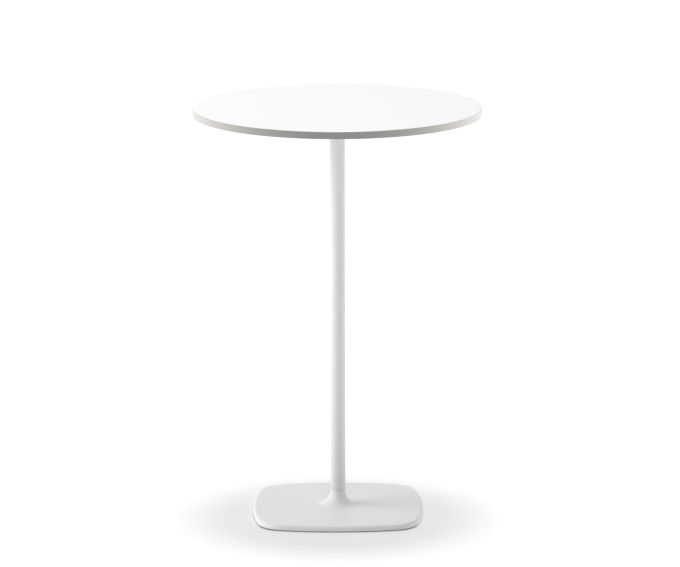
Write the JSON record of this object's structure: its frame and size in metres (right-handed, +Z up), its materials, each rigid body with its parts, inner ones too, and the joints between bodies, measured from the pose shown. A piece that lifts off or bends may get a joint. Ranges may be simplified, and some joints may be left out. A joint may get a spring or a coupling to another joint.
{
  "type": "bistro table",
  "caption": "Bar-height pedestal table: thin round laminated top with a metal edge band on a slim steel column and a flat bowed-square cast base with a trumpet hub and screw feet.",
  "frame": {"origin": "on the floor under the middle of the column, at the centre of the base", "axes": "+Z up along the column, -Y towards the front, +X to the right"},
  "size_m": [0.765, 0.765, 1.1],
  "materials": {
    "top_laminate": "white high-pressure laminate, satin gloss",
    "backing_laminate": "off-white backing laminate, matt",
    "board": "wood-fibre board",
    "edge_metal": "satin anodised, fine lengthwise grain",
    "white_coat": "white powder coat, satin",
    "zinc_steel": "bright zinc plated",
    "brass": "plain turned brass",
    "gasket_rubber": "pale grey, matt",
    "foot_plastic": "dark grey nylon, fine texture"
  },
  "bodies": {
    "table": {"tabletop_laminate": "top_laminate", "tabletop_core": "board", "tabletop_backing": "backing_laminate", "edge_profile": "edge_metal", "threaded_inserts": "brass", "top_spider": "white_coat", "collar_set_screw": "zinc_steel", "top_screws": "zinc_steel", "top_screw_washers": "zinc_steel", "rod_top_nut": "zinc_steel", "rod_top_washer": "zinc_steel", "tie_rod": "zinc_steel", "column_tube": "white_coat", "column_gasket": "gasket_rubber", "base_casting": "white_coat", "base_clamp_washer": "zinc_steel", "base_lock_washer": "zinc_steel", "base_nut": "zinc_steel"},
    "foot_front_left": {"foot_front_left_pad": "foot_plastic", "foot_front_left_stud": "zinc_steel"},
    "foot_front_right": {"foot_front_right_pad": "foot_plastic", "foot_front_right_stud": "zinc_steel"},
    "foot_back_left": {"foot_back_left_pad": "foot_plastic", "foot_back_left_stud": "zinc_steel"},
    "foot_back_right": {"foot_back_right_pad": "foot_plastic", "foot_back_right_stud": "zinc_steel"}
  },
  "joints": [
    {"name": "foot_front_left_screw", "type": "slide", "parent": "table", "child": "foot_front_left", "axis": [0, 0, -1], "range_m": [0, 0.006]},
    {"name": "foot_front_right_screw", "type": "slide", "parent": "table", "child": "foot_front_right", "axis": [0, 0, -1], "range_m": [0, 0.006]},
    {"name": "foot_back_left_screw", "type": "slide", "parent": "table", "child": "foot_back_left", "axis": [0, 0, -1], "range_m": [0, 0.006]},
    {"name": "foot_back_right_screw", "type": "slide", "parent": "table", "child": "foot_back_right", "axis": [0, 0, -1], "range_m": [0, 0.006]}
  ]
}
